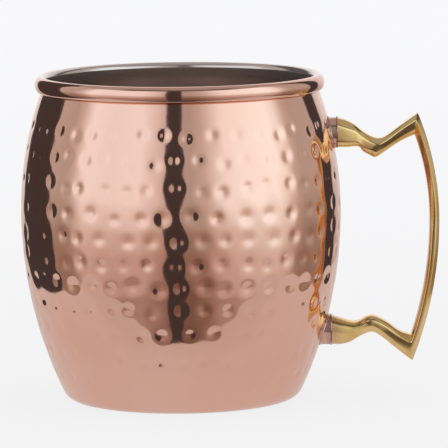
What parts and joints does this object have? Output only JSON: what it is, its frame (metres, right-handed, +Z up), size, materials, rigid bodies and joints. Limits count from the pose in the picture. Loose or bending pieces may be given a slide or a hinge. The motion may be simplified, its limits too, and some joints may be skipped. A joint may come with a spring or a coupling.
{
  "type": "copper mug",
  "caption": "Hammered barrel-shaped copper mug with a steel lining, a rolled rim and a cast brass zig-zag handle.",
  "frame": {"origin": "centre of the base, on the plane of its standing ring", "axes": "+Z up the mug's axis, +X from the axis towards the handle, and the handle lies in the XZ plane"},
  "size_m": [0.1242, 0.095, 0.0967],
  "materials": {
    "copper": "polished copper, hammered",
    "lining_steel": "satin stainless steel",
    "wire_steel": "drawn wire",
    "brass": "polished cast brass",
    "ferrule_copper": "polished copper with heat tint",
    "braze": "dark heat-tinted braze"
  },
  "bodies": {
    "root": {"copper_shell": "copper", "steel_lining": "lining_steel", "rim_wire": "wire_steel", "handle": "brass", "upper_ferrule": "ferrule_copper", "lower_ferrule": "ferrule_copper", "upper_braze_seam": "braze", "lower_braze_seam": "braze", "upper_braze_fillet": "braze", "lower_braze_fillet": "braze"}
  },
  "joints": []
}
